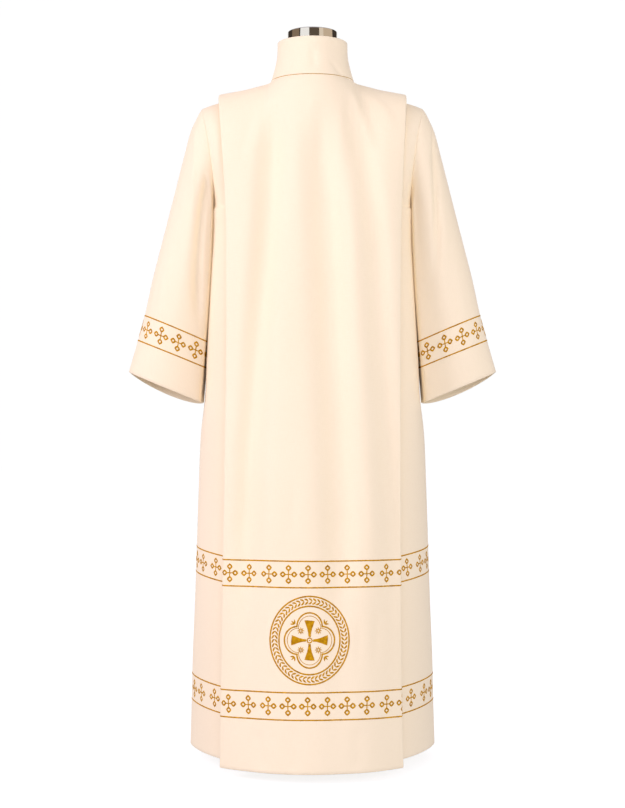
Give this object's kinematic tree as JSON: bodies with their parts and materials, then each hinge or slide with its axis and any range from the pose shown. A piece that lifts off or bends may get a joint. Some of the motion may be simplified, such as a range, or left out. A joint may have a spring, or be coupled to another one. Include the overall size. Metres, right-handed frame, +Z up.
{
  "type": "alb on a dress form",
  "caption": "Long vestment with a wide box-pleat panel, bell sleeves and a tall stand collar, worn on a limbless torso stand with a bright neck cap and a round base.",
  "frame": {"origin": "centre of the round base's underside, on the floor", "axes": "+Z up along the pole; the alb's back, with the medallion, faces -Y; the wearer's left is at -X"},
  "size_m": [0.7636, 0.4776, 1.505],
  "materials": {
    "alb_cloth": "fine plain weave, soft sheen",
    "form_shell": "matt",
    "bright_metal": "polished",
    "base_metal": "satin"
  },
  "bodies": {
    "root": {"back": "alb_cloth", "front": "alb_cloth", "sleeve_left": "alb_cloth", "sleeve_right": "alb_cloth", "collar": "alb_cloth", "placket": "alb_cloth", "form_torso": "form_shell", "neck_cap": "bright_metal", "pole": "bright_metal", "base": "base_metal"}
  },
  "joints": []
}
